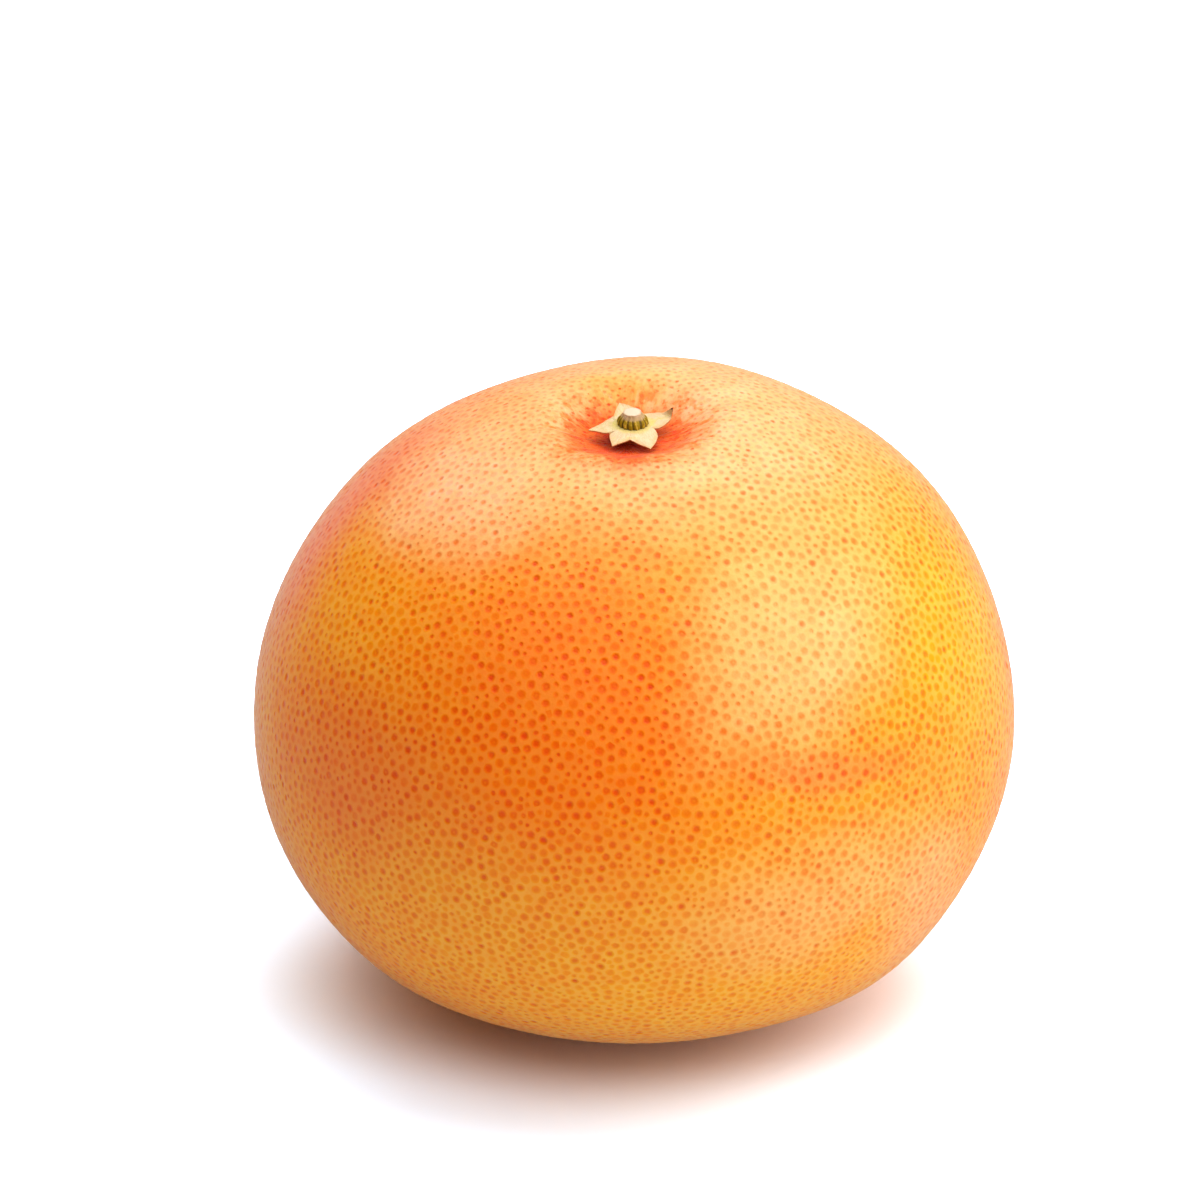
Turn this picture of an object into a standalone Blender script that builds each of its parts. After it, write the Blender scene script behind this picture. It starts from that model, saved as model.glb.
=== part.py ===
"""A whole grapefruit, as picked: the fruit in its pitted peel, the five-lobed calyx that sits in the
hollow at the stem end, and the ribbed stub of the stem on top of the calyx.

Metres, +Z up. The origin is at the middle of the flat spot that the fruit rests on, and +Z runs
through the stem. -Y is the side that the photograph shows.
"""

import math
import random

import bmesh
import bpy
from mathutils import Vector

MM = 0.001

# The fruit: an oblate body, a little taller above its widest level than below it
EQUATOR_RADIUS = 55.0 * MM
UPPER_HEIGHT = 50.6 * MM
LOWER_HEIGHT = 42.6 * MM
UPPER_FULLNESS = 2.0
LOWER_FULLNESS = 2.08
SHOULDER_LEAN = 0.045
FLAT_SPOT_CUT = 0.55 * MM

# Soft swellings of the body: azimuth and elevation in degrees, and height
SWELLINGS = (
    (0, 0, 0.3 * MM),
    (23, 33, 0.6 * MM),
    (75, 58, 0.5 * MM),
    (146, 43, 0.7 * MM),
    (183, -4, -0.3 * MM),
    (216, -45, 0.9 * MM),
    (326, -43, 1.6 * MM),
    (62, -30, 0.5 * MM),
    (125, -12, 0.4 * MM),
)
SWELLING_SPREAD = math.radians(17)

# The hollow at the stem end, and the creases that run out of it: azimuth, half width in degrees, depth
HOLLOW_DEPTH = 4.8 * MM
HOLLOW_RADIUS = 10.0 * MM
HOLLOW_EDGE = 3.5
CREASES = (
    (20, 9, 0.50 * MM),
    (58, 12, 0.25 * MM),
    (103, 10, 0.35 * MM),
    (142, 9, 0.25 * MM),
    (184, 8, 0.45 * MM),
    (222, 11, 0.25 * MM),
    (262, 9, 0.20 * MM),
    (300, 10, 0.30 * MM),
    (334, 8, 0.40 * MM),
)
CREASE_MIDDLE = 12.0 * MM
CREASE_REACH = 6.5 * MM

# Points of the peel, close together round the stem. About one in four is the bottom of a pit, drawn
# about three times larger than life, and the pits are smoothed away at the flat spot.
SPACING = 2.85 * MM
SPACING_AT_STEM = 1.15 * MM
SPACING_GROWTH = 14.0 * MM
PIT_DEPTH_PER_SPACING = 0.2
PIT_SEED = 4
SMOOTH_UNDER_RADIUS = 12.0 * MM
GOLDEN_ANGLE = math.pi * (3 - math.sqrt(5))

# The calyx: a thin star on a short round foot, above the floor of the hollow
CLEARANCE = 0.3 * MM
STAR_TOP_ABOVE_FLOOR = 2.0 * MM
STAR_THICKNESS = 0.6 * MM
SEAT_RADIUS = 2.6 * MM
FOOT_RADIUS = 2.7 * MM
FOOT_TOP_RADIUS = 2.3 * MM
# Sepals: azimuth in degrees, length and height of the tip, and how full its two edges are
SEPALS = (
    (17, 6.0 * MM, 0.6 * MM, 0.80, 1.90),
    (112, 4.8 * MM, 0.8 * MM, 0.95, 1.40),
    (196, 6.2 * MM, -0.2 * MM, 2.00, 0.95),
    (244, 6.3 * MM, -0.4 * MM, 1.05, 1.05),
    (290, 6.9 * MM, -0.4 * MM, 1.60, 1.05),
)
# Each sepal ends in a narrow point of this length
SEPAL_POINT = 0.35 * MM
POINT_START = 8
# Notches between the sepals: azimuth in degrees, radius and height, each before its sepal
NOTCHES = (
    (-21, 3.1 * MM, 0.0),
    (69, 3.5 * MM, 0.25 * MM),
    (150, 3.2 * MM, 0.1 * MM),
    (222, 4.4 * MM, -0.15 * MM),
    (264, 4.7 * MM, -0.05 * MM),
)
STEPS_PER_EDGE = 9
STAR_RINGS = 7
CURLED_SEPAL = 0
CURL_START = 0.8
CURL_RISE = 0.8 * MM
CURL_BACK = 0.3 * MM

# The stem stub: a ribbed, tapering end with a slightly domed cut face
STUB_BASE_RADIUS = 2.25 * MM
STUB_TOP_RADIUS = 1.3 * MM
STUB_HEIGHT = 2.0 * MM
STUB_RIBS = 15
STUB_RIB_DEPTH = 0.14 * MM
STUB_STEPS_PER_RIB = 4
STUB_LEAN = Vector((-0.1 * MM, 0.0, 0.0))
# Profile of the stub: share of the height, and share of the way from its top to its base radius
STUB_PROFILE = ((0.0, 0.93), (0.1, 1.0), (0.3, 0.93), (0.5, 0.72), (0.7, 0.42), (0.86, 0.16), (0.94, 0.0))


def clear_scene():
    for leftover in list(bpy.data.objects):
        bpy.data.objects.remove(leftover)


def new_collection(name):
    collection = bpy.data.collections.new(name)
    bpy.context.scene.collection.children.link(collection)
    return collection


def new_material(name, colour, roughness):
    material = bpy.data.materials.new(name)
    material.use_nodes = True
    shader = material.node_tree.nodes["Principled BSDF"]
    shader.inputs["Base Color"].default_value = (*colour, 1.0)
    shader.inputs["Roughness"].default_value = roughness
    shader.inputs["Metallic"].default_value = 0.0
    return material


def new_object(name, shape, material, collection):
    """An object made from the bmesh, which is used up. It is shaded smooth, with its sharp edges kept."""
    mesh = bpy.data.meshes.new(name)
    bmesh.ops.recalc_face_normals(shape, faces=shape.faces)
    shape.to_mesh(mesh)
    shape.free()
    mesh.shade_smooth()
    mesh.set_sharp_from_angle(angle=math.radians(50))
    mesh.materials.append(material)
    made = bpy.data.objects.new(name, mesh)
    collection.objects.link(made)
    return made


def direction_at(azimuth_degrees, elevation_degrees):
    azimuth, elevation = math.radians(azimuth_degrees), math.radians(elevation_degrees)
    level = math.cos(elevation)
    return Vector((level * math.cos(azimuth), level * math.sin(azimuth), math.sin(elevation)))


def angle_between(first, second):
    """The difference between two angles in radians, from -pi to pi."""
    return (first - second + math.pi) % (2 * math.pi) - math.pi


def body_point(direction):
    """Where the plain oblate body, with its leaning shoulder and swellings, lies in this direction."""
    level, rise = math.hypot(direction.x, direction.y), direction.z
    fullness, height = (UPPER_FULLNESS, UPPER_HEIGHT) if rise >= 0 else (LOWER_FULLNESS, LOWER_HEIGHT)
    reach = (level**fullness + abs(rise) ** fullness) ** (-1 / fullness)
    point = Vector((EQUATOR_RADIUS * direction.x, EQUATOR_RADIUS * direction.y, height * rise)) * reach
    point.z += SHOULDER_LEAN * point.x * max(point.z, 0) / EQUATOR_RADIUS
    for azimuth, elevation, swelling in SWELLINGS:
        apart = direction.angle(direction_at(azimuth, elevation), 0)
        point += direction * (swelling * math.exp(-((apart / SWELLING_SPREAD) ** 2)))
    return point


def crease_depth(azimuth, distance):
    """How deep the creases of the stem end are at this azimuth and distance from the stem."""
    along = math.exp(-(((distance - CREASE_MIDDLE) / CREASE_REACH) ** 2))
    across = 0.0
    for middle, half_width, depth in CREASES:
        off = angle_between(azimuth, math.radians(middle)) / math.radians(half_width)
        across += depth * math.exp(-(off**2))
    return along * across


def peel_point(direction, pit_depth=0.0):
    """A point of the peel, with the hollow, creases and pits, in heights above the flat spot."""
    point = body_point(direction)
    distance = math.hypot(point.x, point.y)
    if direction.z > 0:
        point.z -= HOLLOW_DEPTH * math.exp(-((distance / HOLLOW_RADIUS) ** HOLLOW_EDGE))
        point.z -= crease_depth(math.atan2(direction.y, direction.x), distance)
    else:
        pit_depth *= 1 - math.exp(-((distance / SMOOTH_UNDER_RADIUS) ** 6))
    point -= direction * pit_depth
    point.z += LOWER_HEIGHT - FLAT_SPOT_CUT
    return point


def spacing_at(polar):
    """The distance between points of the peel at this angle from the stem."""
    distance = EQUATOR_RADIUS * polar
    return SPACING - (SPACING - SPACING_AT_STEM) * math.exp(-((distance / SPACING_GROWTH) ** 2))


def peel_directions():
    """Directions of the peel's points, along a golden-angle spiral from the stem to the blossom end."""
    polar, azimuth = SPACING_AT_STEM / (2 * EQUATOR_RADIUS), 0.0
    found = []
    while polar < math.pi:
        level = math.sin(polar)
        found.append(Vector((level * math.cos(azimuth), level * math.sin(azimuth), math.cos(polar))))
        azimuth += GOLDEN_ANGLE
        ring = 2 * math.pi * level * EQUATOR_RADIUS
        polar += math.sqrt(3) / 2 * spacing_at(polar) ** 2 / (ring * EQUATOR_RADIUS)
    return found


def chosen_pits(shape):
    """Pits, drawn at random among the points so that no two are neighbours."""
    order = list(shape.verts)
    random.Random(PIT_SEED).shuffle(order)
    pits = set()
    for point in order:
        if not any(edge.other_vert(point) in pits for edge in point.link_edges):
            pits.add(point)
    return pits


def make_fruit(material, collection):
    """The fruit: a hull over the peel's directions, moved out to the peel, and cut at the flat spot."""
    shape = bmesh.new()
    points = [shape.verts.new(direction) for direction in peel_directions()]
    bmesh.ops.convex_hull(shape, input=points)
    pits = chosen_pits(shape)
    for point in shape.verts:
        direction = point.co.normalized()
        polar = direction.angle(Vector((0, 0, 1)), 0)
        pit_depth = PIT_DEPTH_PER_SPACING * spacing_at(polar) if point in pits else 0.0
        point.co = peel_point(direction, pit_depth)
    cut = bmesh.ops.bisect_plane(
        shape,
        geom=shape.verts[:] + shape.edges[:] + shape.faces[:],
        plane_co=(0, 0, 0),
        plane_no=(0, 0, 1),
        clear_inner=True,
    )
    outline = [item for item in cut["geom_cut"] if isinstance(item, bmesh.types.BMEdge)]
    bmesh.ops.triangle_fill(shape, edges=outline, use_beauty=True)
    return new_object("fruit", shape, material, collection)


def star_edge(step):
    """Azimuth, radius and height of the star's outline at this step round it, and how far it curls."""
    edge, along = divmod(step, STEPS_PER_EDGE)
    sepal, falling = divmod(edge, 2)
    share = along / STEPS_PER_EDGE
    tip_azimuth, tip_radius, tip_height, rising_edge, falling_edge = SEPALS[sepal]
    if falling:
        notch_azimuth, notch_radius, notch_height = NOTCHES[(sepal + 1) % len(NOTCHES)]
        nearness, fullness = 1 - share, falling_edge
    else:
        notch_azimuth, notch_radius, notch_height = NOTCHES[sepal]
        nearness, fullness = share, rising_edge
    tip, notch = math.radians(tip_azimuth), math.radians(notch_azimuth)
    azimuth = notch + angle_between(tip, notch) * nearness
    radius = notch_radius + (tip_radius - notch_radius) * nearness**fullness
    radius += SEPAL_POINT * nearness**POINT_START
    height = notch_height + (tip_height - notch_height) * nearness
    curl = max(0.0, 2 * nearness - 1) if sepal == CURLED_SEPAL else 0.0
    return azimuth, radius, height, curl


def star_point(step, share):
    """A point of the star's upper face, at this step round it and this share of the way out."""
    azimuth, radius, height, curl = star_edge(step)
    out = radius * share
    beyond_seat = max(0.0, (out - SEAT_RADIUS) / (radius - SEAT_RADIUS))
    lift = height * beyond_seat**1.5
    curled = curl * max(0.0, (share - CURL_START) / (1 - CURL_START)) ** 2
    out -= CURL_BACK * curled
    lift += CURL_RISE * curled
    return Vector((out * math.cos(azimuth), out * math.sin(azimuth), lift))


def hollow_floor():
    """The height of the peel in the middle of the stem hollow."""
    return peel_point(Vector((0, 0, 1))).z


def make_calyx(material, collection, helpers, star_middle):
    """The calyx: a radius turned into a disc, drawn out into five sepals, with a foot joined below."""
    steps = 2 * len(SEPALS) * STEPS_PER_EDGE
    star = bmesh.new()
    spokes = [star.verts.new((ring / STAR_RINGS, 0, 0)) for ring in range(STAR_RINGS + 1)]
    edges = [star.edges.new(pair) for pair in zip(spokes, spokes[1:])]
    bmesh.ops.spin(
        star,
        geom=spokes + edges,
        axis=(0, 0, 1),
        cent=(0, 0, 0),
        angle=2 * math.pi,
        steps=steps,
        use_merge=True,
    )
    bmesh.ops.remove_doubles(star, verts=star.verts, dist=1e-4)
    for vertex in star.verts:
        share = vertex.co.length
        turned = math.atan2(vertex.co.y, vertex.co.x) % (2 * math.pi)
        step = round(turned / (2 * math.pi) * steps) % steps
        vertex.co = star_point(step, share) if share > 0 else Vector()
        vertex.co.z += star_middle
    calyx = new_object("calyx", star, material, collection)
    wall = calyx.modifiers.new("thickness", "SOLIDIFY")
    wall.thickness = STAR_THICKNESS
    wall.offset = 0.0

    foot = bmesh.new()
    foot_base = hollow_floor() + CLEARANCE
    bmesh.ops.create_cone(
        foot,
        cap_ends=True,
        segments=36,
        radius1=FOOT_RADIUS,
        radius2=FOOT_TOP_RADIUS,
        depth=star_middle - foot_base,
    )
    bmesh.ops.translate(foot, verts=foot.verts, vec=(0, 0, (star_middle + foot_base) / 2))
    foot_object = new_object("calyx_foot", foot, material, helpers)
    foot_object.hide_render = True
    foot_object.display_type = "WIRE"
    join = calyx.modifiers.new("foot", "BOOLEAN")
    join.operation = "UNION"
    join.object = foot_object
    return calyx


def stub_axis(share):
    """The middle of the leaning stub, at this share of its height."""
    return STUB_LEAN * share + Vector((0, 0, STUB_HEIGHT * share))


def stub_side(turn, share, spread):
    """A point of the stub's side, at this turn, share of its height and share of its spread."""
    radius = STUB_TOP_RADIUS + (STUB_BASE_RADIUS - STUB_TOP_RADIUS) * spread
    valley = 0.5 - 0.5 * math.cos(STUB_RIBS * turn)
    radius -= STUB_RIB_DEPTH * valley * (1 - share)
    return stub_axis(share) + Vector((radius * math.cos(turn), radius * math.sin(turn), 0))


def make_stub(material, collection, base):
    """The stub: a profile turned round the stem, with ribs, closed by a base and a domed cut face."""
    shape = bmesh.new()
    levels = len(STUB_PROFILE)
    profile = [shape.verts.new((0, 0, 0))]
    profile += [shape.verts.new((1, 0, level)) for level in range(levels)]
    profile.append(shape.verts.new((0, 0, levels)))
    edges = [shape.edges.new(pair) for pair in zip(profile, profile[1:])]
    bmesh.ops.spin(
        shape,
        geom=profile + edges,
        axis=(0, 0, 1),
        cent=(0, 0, 0),
        angle=2 * math.pi,
        steps=STUB_RIBS * STUB_STEPS_PER_RIB,
        use_merge=True,
    )
    bmesh.ops.remove_doubles(shape, verts=shape.verts, dist=1e-4)
    for vertex in shape.verts:
        level = round(vertex.co.z)
        if math.hypot(vertex.co.x, vertex.co.y) < 0.5:
            vertex.co = stub_axis(min(level, 1))
        else:
            vertex.co = stub_side(math.atan2(vertex.co.y, vertex.co.x), *STUB_PROFILE[level])
        vertex.co.z += base
    return new_object("stem_stub", shape, material, collection)


def main():
    clear_scene()
    collection = new_collection("grapefruit")
    helpers = new_collection("helpers")
    peel = new_material("peel", (0.88, 0.36, 0.07), 0.38)
    sepal = new_material("sepal", (0.82, 0.72, 0.40), 0.65)
    stem = new_material("stem", (0.20, 0.16, 0.02), 0.60)
    make_fruit(peel, collection)
    star_top = hollow_floor() + STAR_TOP_ABOVE_FLOOR
    make_calyx(sepal, collection, helpers, star_top - STAR_THICKNESS / 2)
    make_stub(stem, collection, star_top + CLEARANCE)


main()
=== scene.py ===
"""The looks of a whole grapefruit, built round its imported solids, with a floor, soft light and a camera."""

import math

import bmesh
import bpy
import numpy as np
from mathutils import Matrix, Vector
from mathutils import noise as rough


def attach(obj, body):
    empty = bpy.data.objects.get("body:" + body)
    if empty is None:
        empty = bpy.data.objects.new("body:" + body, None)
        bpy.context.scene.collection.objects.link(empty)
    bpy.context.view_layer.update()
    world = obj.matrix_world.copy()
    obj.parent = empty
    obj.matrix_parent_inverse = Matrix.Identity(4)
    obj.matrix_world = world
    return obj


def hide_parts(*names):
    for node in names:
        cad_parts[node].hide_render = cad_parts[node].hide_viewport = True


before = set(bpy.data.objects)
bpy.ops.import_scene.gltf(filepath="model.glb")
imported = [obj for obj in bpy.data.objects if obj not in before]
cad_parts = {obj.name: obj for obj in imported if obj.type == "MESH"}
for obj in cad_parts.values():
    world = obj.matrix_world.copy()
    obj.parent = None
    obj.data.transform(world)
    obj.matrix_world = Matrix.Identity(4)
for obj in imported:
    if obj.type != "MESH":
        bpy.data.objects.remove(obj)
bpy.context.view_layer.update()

MM = 0.001

# The fruit: one round body that grew round its stem, a little lopsided, with a hollow at the stem
# end that is drawn in along creases. Its peel is full of oil glands, which show as round pits.
EQUATOR_RADIUS = 55.0 * MM
UPPER_HEIGHT = 50.6 * MM
LOWER_HEIGHT = 42.6 * MM
UPPER_FULLNESS = 2.0
LOWER_FULLNESS = 2.08
SHOULDER_LEAN = 0.045
FLAT_SPOT_CUT = 0.55 * MM
# Swellings of the body: azimuth and elevation in degrees, and height
SWELLINGS = (
    (0, 0, 0.3 * MM),
    (23, 33, 0.6 * MM),
    (75, 58, 0.5 * MM),
    (146, 43, 0.7 * MM),
    (183, -4, -0.3 * MM),
    (216, -45, 0.9 * MM),
    (326, -43, 1.6 * MM),
    (62, -30, 0.5 * MM),
    (125, -12, 0.4 * MM),
)
SWELLING_SPREAD = math.radians(17)
HOLLOW_DEPTH = 4.8 * MM
HOLLOW_RADIUS = 10.0 * MM
HOLLOW_EDGE = 3.5
# Creases at the stem end: azimuth and half width in degrees, and depth
CREASES = (
    (20, 9, 0.50 * MM),
    (58, 12, 0.25 * MM),
    (103, 10, 0.35 * MM),
    (142, 9, 0.25 * MM),
    (184, 8, 0.45 * MM),
    (222, 11, 0.25 * MM),
    (262, 9, 0.20 * MM),
    (300, 10, 0.30 * MM),
    (334, 8, 0.40 * MM),
)
CREASE_MIDDLE = 12.0 * MM
CREASE_REACH = 6.5 * MM
# Fine wrinkles between the creases
WRINKLES = 34
WRINKLE_HALF_WIDTH = (2.0, 4.0)
WRINKLE_DEPTH = (0.05 * MM, 0.16 * MM)
WRINKLE_MIDDLE = (7.5 * MM, 12.5 * MM)
WRINKLE_REACH = (1.8 * MM, 3.6 * MM)
# The blossom scar under the fruit: a low ring
SCAR_RADIUS = 2.2 * MM
SCAR_WIDTH = 0.3
SCAR_HEIGHT = 0.3 * MM
# Pores: how many there would be if none crowded at the stem, and the room of a large and a small one
PORE_SEED = 11
PORES = 15800
LARGE_PORE_SHARE = 0.62
LARGE_PORE_ROOM = (1.45, 1.75)
SMALL_PORE_ROOM = (0.90, 1.20)
PORE_SCATTER = 0.35
CROWDING_AT_STEM = 0.38
CROWDING_REACH = 20.0 * MM
SETTLING_ROUNDS = 4
STEPS_PER_ROUND = 6
SETTLING_STRENGTH = 0.16
GOLDEN_ANGLE = math.pi * (3 - math.sqrt(5))
# Radius of a pore for each unit of its room, and its depth
LARGE_PORE_RADIUS = 0.335
SMALL_PORE_RADIUS = 0.290
SHRINKING_AT_STEM = 0.3
LARGE_PORE_DEPTH = 0.035 * MM
SMALL_PORE_DEPTH = 0.02 * MM
DEEP_PORE_SHARE = 0.13
DEEP_PORE_DEPTH = 0.07 * MM
SHALLOWER_AT_STEM = 0.5
PORE_TONES = (2.0, 1.6)
SKIN_UNEVENNESS = 0.03 * MM


def azimuth_gap(azimuth, degrees):
    """The difference between azimuths in radians and one in degrees, from -pi to pi."""
    return (azimuth - math.radians(degrees) + math.pi) % (2 * math.pi) - math.pi


def toward(azimuth_degrees, elevation_degrees):
    """The unit vector in this direction from the middle of the fruit."""
    azimuth, elevation = math.radians(azimuth_degrees), math.radians(elevation_degrees)
    level = math.cos(elevation)
    return np.array([level * math.cos(azimuth), level * math.sin(azimuth), math.sin(elevation)])


def peel_places(directions, wrinkles=()):
    """Where the peel lies in these directions, one row for each, in heights above the flat spot."""
    level, rise = np.hypot(directions[:, 0], directions[:, 1]), directions[:, 2]
    upper = rise >= 0
    fullness = np.where(upper, UPPER_FULLNESS, LOWER_FULLNESS)
    height = np.where(upper, UPPER_HEIGHT, LOWER_HEIGHT)
    reach = (level**fullness + np.abs(rise) ** fullness) ** (-1 / fullness)
    places = directions * reach[:, None]
    places[:, :2] *= EQUATOR_RADIUS
    places[:, 2] *= height
    places[:, 2] += SHOULDER_LEAN * places[:, 0] * np.maximum(places[:, 2], 0) / EQUATOR_RADIUS
    for azimuth, elevation, swelling in SWELLINGS:
        apart = np.arccos(np.clip(directions @ toward(azimuth, elevation), -1, 1))
        places += directions * (swelling * np.exp(-((apart / SWELLING_SPREAD) ** 2)))[:, None]
    distance = np.hypot(places[:, 0], places[:, 1])
    azimuth = np.arctan2(directions[:, 1], directions[:, 0])
    hollow = HOLLOW_DEPTH * np.exp(-((distance / HOLLOW_RADIUS) ** HOLLOW_EDGE))
    creases = [(*crease, CREASE_MIDDLE, CREASE_REACH) for crease in CREASES]
    for middle, half_width, depth, start, length in (*creases, *wrinkles):
        along = np.exp(-(((distance - start) / length) ** 2))
        beside = azimuth_gap(azimuth, middle) / math.radians(half_width)
        hollow += along * depth * np.exp(-(beside**2))
    places[:, 2] -= np.where(upper, hollow, 0)
    places[:, 2] += LOWER_HEIGHT - FLAT_SPOT_CUT
    return places


def draw_wrinkles(chance):
    """Fine wrinkles at random azimuths, each with its half width, depth, middle and reach."""
    ranges = (WRINKLE_HALF_WIDTH, WRINKLE_DEPTH, WRINKLE_MIDDLE, WRINKLE_REACH)
    wrinkles = []
    for _ in range(WRINKLES):
        azimuth = chance.uniform(0, 360)
        wrinkles.append((azimuth, *(chance.uniform(*span) for span in ranges)))
    return wrinkles


def stem_nearness(places, directions):
    """One at the stem, and none away from it."""
    distance = np.hypot(places[:, 0], places[:, 1])
    return np.exp(-((distance / CROWDING_REACH) ** 2)) * (directions[:, 2] > 0)


def throw_pores(chance):
    """Directions of pores along a golden-angle spiral, each moved a little at random."""
    spacing = math.sqrt(4 * math.pi / PORES)
    polar, azimuth, found = spacing / 2, 0.0, []
    while polar < math.pi:
        level = math.sin(polar)
        found.append((level * math.cos(azimuth), level * math.sin(azimuth), math.cos(polar)))
        azimuth += GOLDEN_ANGLE
        closer = 1 - CROWDING_AT_STEM * math.exp(-((polar * EQUATOR_RADIUS / CROWDING_REACH) ** 2))
        polar += (spacing * closer) ** 2 / (2 * math.pi * level)
    thrown = np.array(found)
    thrown += chance.normal(size=thrown.shape) * PORE_SCATTER * spacing
    return thrown / np.linalg.norm(thrown, axis=1)[:, None]


def pore_hull(directions):
    """A bmesh of the pores on a unit ball, each joined to its neighbours."""
    hull = bmesh.new()
    for direction in directions:
        hull.verts.new(direction)
    hull.verts.index_update()
    bmesh.ops.convex_hull(hull, input=hull.verts)
    return hull


def settle_pores(directions, room):
    """Moves the pores until neighbours lie as far apart as their rooms ask, as glands grow in a peel."""
    height = np.where(directions[:, 2] >= 0, UPPER_HEIGHT, LOWER_HEIGHT)
    size = np.stack((np.full(len(height), EQUATOR_RADIUS),) * 2 + (height,), axis=1)
    for _ in range(SETTLING_ROUNDS):
        hull = pore_hull(directions)
        first, second = np.array([[end.index for end in edge.verts] for edge in hull.edges]).T
        hull.free()
        for _ in range(STEPS_PER_ROUND):
            places = directions * size
            apart = places[second] - places[first]
            length = np.linalg.norm(apart, axis=1)
            closer = 1 - CROWDING_AT_STEM * stem_nearness(places, directions)
            wanted = (room * closer)[first] + (room * closer)[second]
            wanted *= length.sum() / wanted.sum()
            push = apart * (SETTLING_STRENGTH * (wanted / length - 1))[:, None]
            np.add.at(places, second, push)
            np.add.at(places, first, -push)
            directions = places / size
            directions /= np.linalg.norm(directions, axis=1)[:, None]
    return directions


def shape_peel(mesh, room, large, chance):
    """Moves the points of the mesh out to the peel, and says on it where each pore is and how it looks."""
    count, pores = len(mesh.vertices), len(room)
    directions = np.empty(count * 3)
    mesh.vertices.foreach_get("co", directions)
    directions = directions.reshape(-1, 3)
    directions /= np.linalg.norm(directions, axis=1)[:, None]
    places = peel_places(directions, draw_wrinkles(chance))
    at_stem = stem_nearness(places[:pores], directions[:pores])

    tone = chance.beta(*PORE_TONES, pores)
    deep = (chance.random(pores) < DEEP_PORE_SHARE) & large
    depth = np.where(large, LARGE_PORE_DEPTH, SMALL_PORE_DEPTH) * (0.5 + tone) + DEEP_PORE_DEPTH * deep
    raised = np.empty(count)
    raised[:pores] = -depth * (1 - SHALLOWER_AT_STEM * at_stem)
    raised[pores:] = SKIN_UNEVENNESS * chance.uniform(-1, 1, count - pores)
    places += directions * raised[:, None]
    from_scar = np.hypot(places[:, 0], places[:, 1]) / SCAR_RADIUS
    scar = SCAR_HEIGHT * np.exp(-(((from_scar - 1) / SCAR_WIDTH) ** 2)) * (directions[:, 2] < 0)
    places[:, 2] = np.maximum(places[:, 2], 0) + scar
    mesh.vertices.foreach_set("co", places.ravel())

    corners = np.empty(len(mesh.loops), int)
    mesh.loops.foreach_get("vertex_index", corners)
    pore = np.repeat(corners.reshape(-1, 3).min(axis=1), 3)
    radius = np.where(large, LARGE_PORE_RADIUS, SMALL_PORE_RADIUS) * room
    radius *= (1 - CROWDING_AT_STEM * at_stem) * (1 - SHRINKING_AT_STEM * at_stem)
    offset = mesh.attributes.new("pore_offset", "FLOAT_VECTOR", "CORNER")
    offset.data.foreach_set("vector", ((places[corners] - places[pore]) / MM).ravel())
    across_cell = mesh.attributes.new("across_cell", "FLOAT", "CORNER")
    across_cell.data.foreach_set("value", (corners != pore).astype(float))
    look = mesh.attributes.new("pore_look", "FLOAT_VECTOR", "FACE")
    look.data.foreach_set("vector", np.stack((radius, tone, deep), axis=1)[pore[::3]].ravel())
    mesh.shade_smooth()


def node(tree, kind, inputs=(), **settings):
    """A new node with these settings. Each input is a value, or the socket that it is linked from."""
    made = tree.nodes.new(kind)
    for name, value in settings.items():
        setattr(made, name, value)
    for key, value in dict(inputs).items():
        if isinstance(value, bpy.types.NodeSocket):
            tree.links.new(value, made.inputs[key])
        else:
            made.inputs[key].default_value = value
    return made


def calculate(tree, operation, *values):
    return node(tree, "ShaderNodeMath", enumerate(values), operation=operation).outputs[0]


def combine(tree, operation, *values, output="Vector"):
    return node(tree, "ShaderNodeVectorMath", enumerate(values), operation=operation).outputs[output]


def fade(tree, value, start, end, low=0.0, high=1.0):
    """Goes smoothly from low to high as the value goes from start to end."""
    inputs = {"Value": value, "From Min": start, "From Max": end, "To Min": low, "To Max": high}
    return node(tree, "ShaderNodeMapRange", inputs, interpolation_type="SMOOTHSTEP").outputs["Result"]


def blend_colours(tree, share, first, second, mode="MIX"):
    made = node(tree, "ShaderNodeMix", {0: share, 6: first, 7: second}, data_type="RGBA", blend_type=mode)
    return made.outputs[2]


def tinted(tree, share, colour, tint):
    """The colour, multiplied by the tint for this share."""
    return blend_colours(tree, share, colour, tint, "MULTIPLY")


def noise(tree, position, scale, detail=2.0, roughness=0.5, channel="Fac"):
    inputs = {"Vector": position, "Scale": scale, "Detail": detail, "Roughness": roughness}
    return node(tree, "ShaderNodeTexNoise", inputs).outputs[channel]


def attribute(tree, name, output="Vector"):
    return node(tree, "ShaderNodeAttribute", attribute_name=name).outputs[output]


def new_material(name):
    """A material, its node tree and its Principled shader."""
    material = bpy.data.materials.new(name)
    material.use_nodes = True
    return material, material.node_tree, material.node_tree.nodes["Principled BSDF"]


def new_group(name, inputs, outputs):
    """A node group with these named sockets, its input sockets and its output sockets."""
    group = bpy.data.node_groups.new(name, "ShaderNodeTree")
    for title, kind in inputs.items():
        group.interface.new_socket(title, in_out="INPUT", socket_type=kind)
    for title, kind in outputs.items():
        group.interface.new_socket(title, in_out="OUTPUT", socket_type=kind)
    return group, group.nodes.new("NodeGroupInput").outputs, group.nodes.new("NodeGroupOutput").inputs


def new_piece(name, mesh, material, stands_for):
    """A finished piece of the fruit, which stands for a node and rides on the body."""
    mesh.materials.append(material)
    piece = bpy.data.objects.new(name, mesh)
    bpy.context.scene.collection.objects.link(piece)
    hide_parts(stands_for)
    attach(piece, "root")
    return piece


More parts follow.
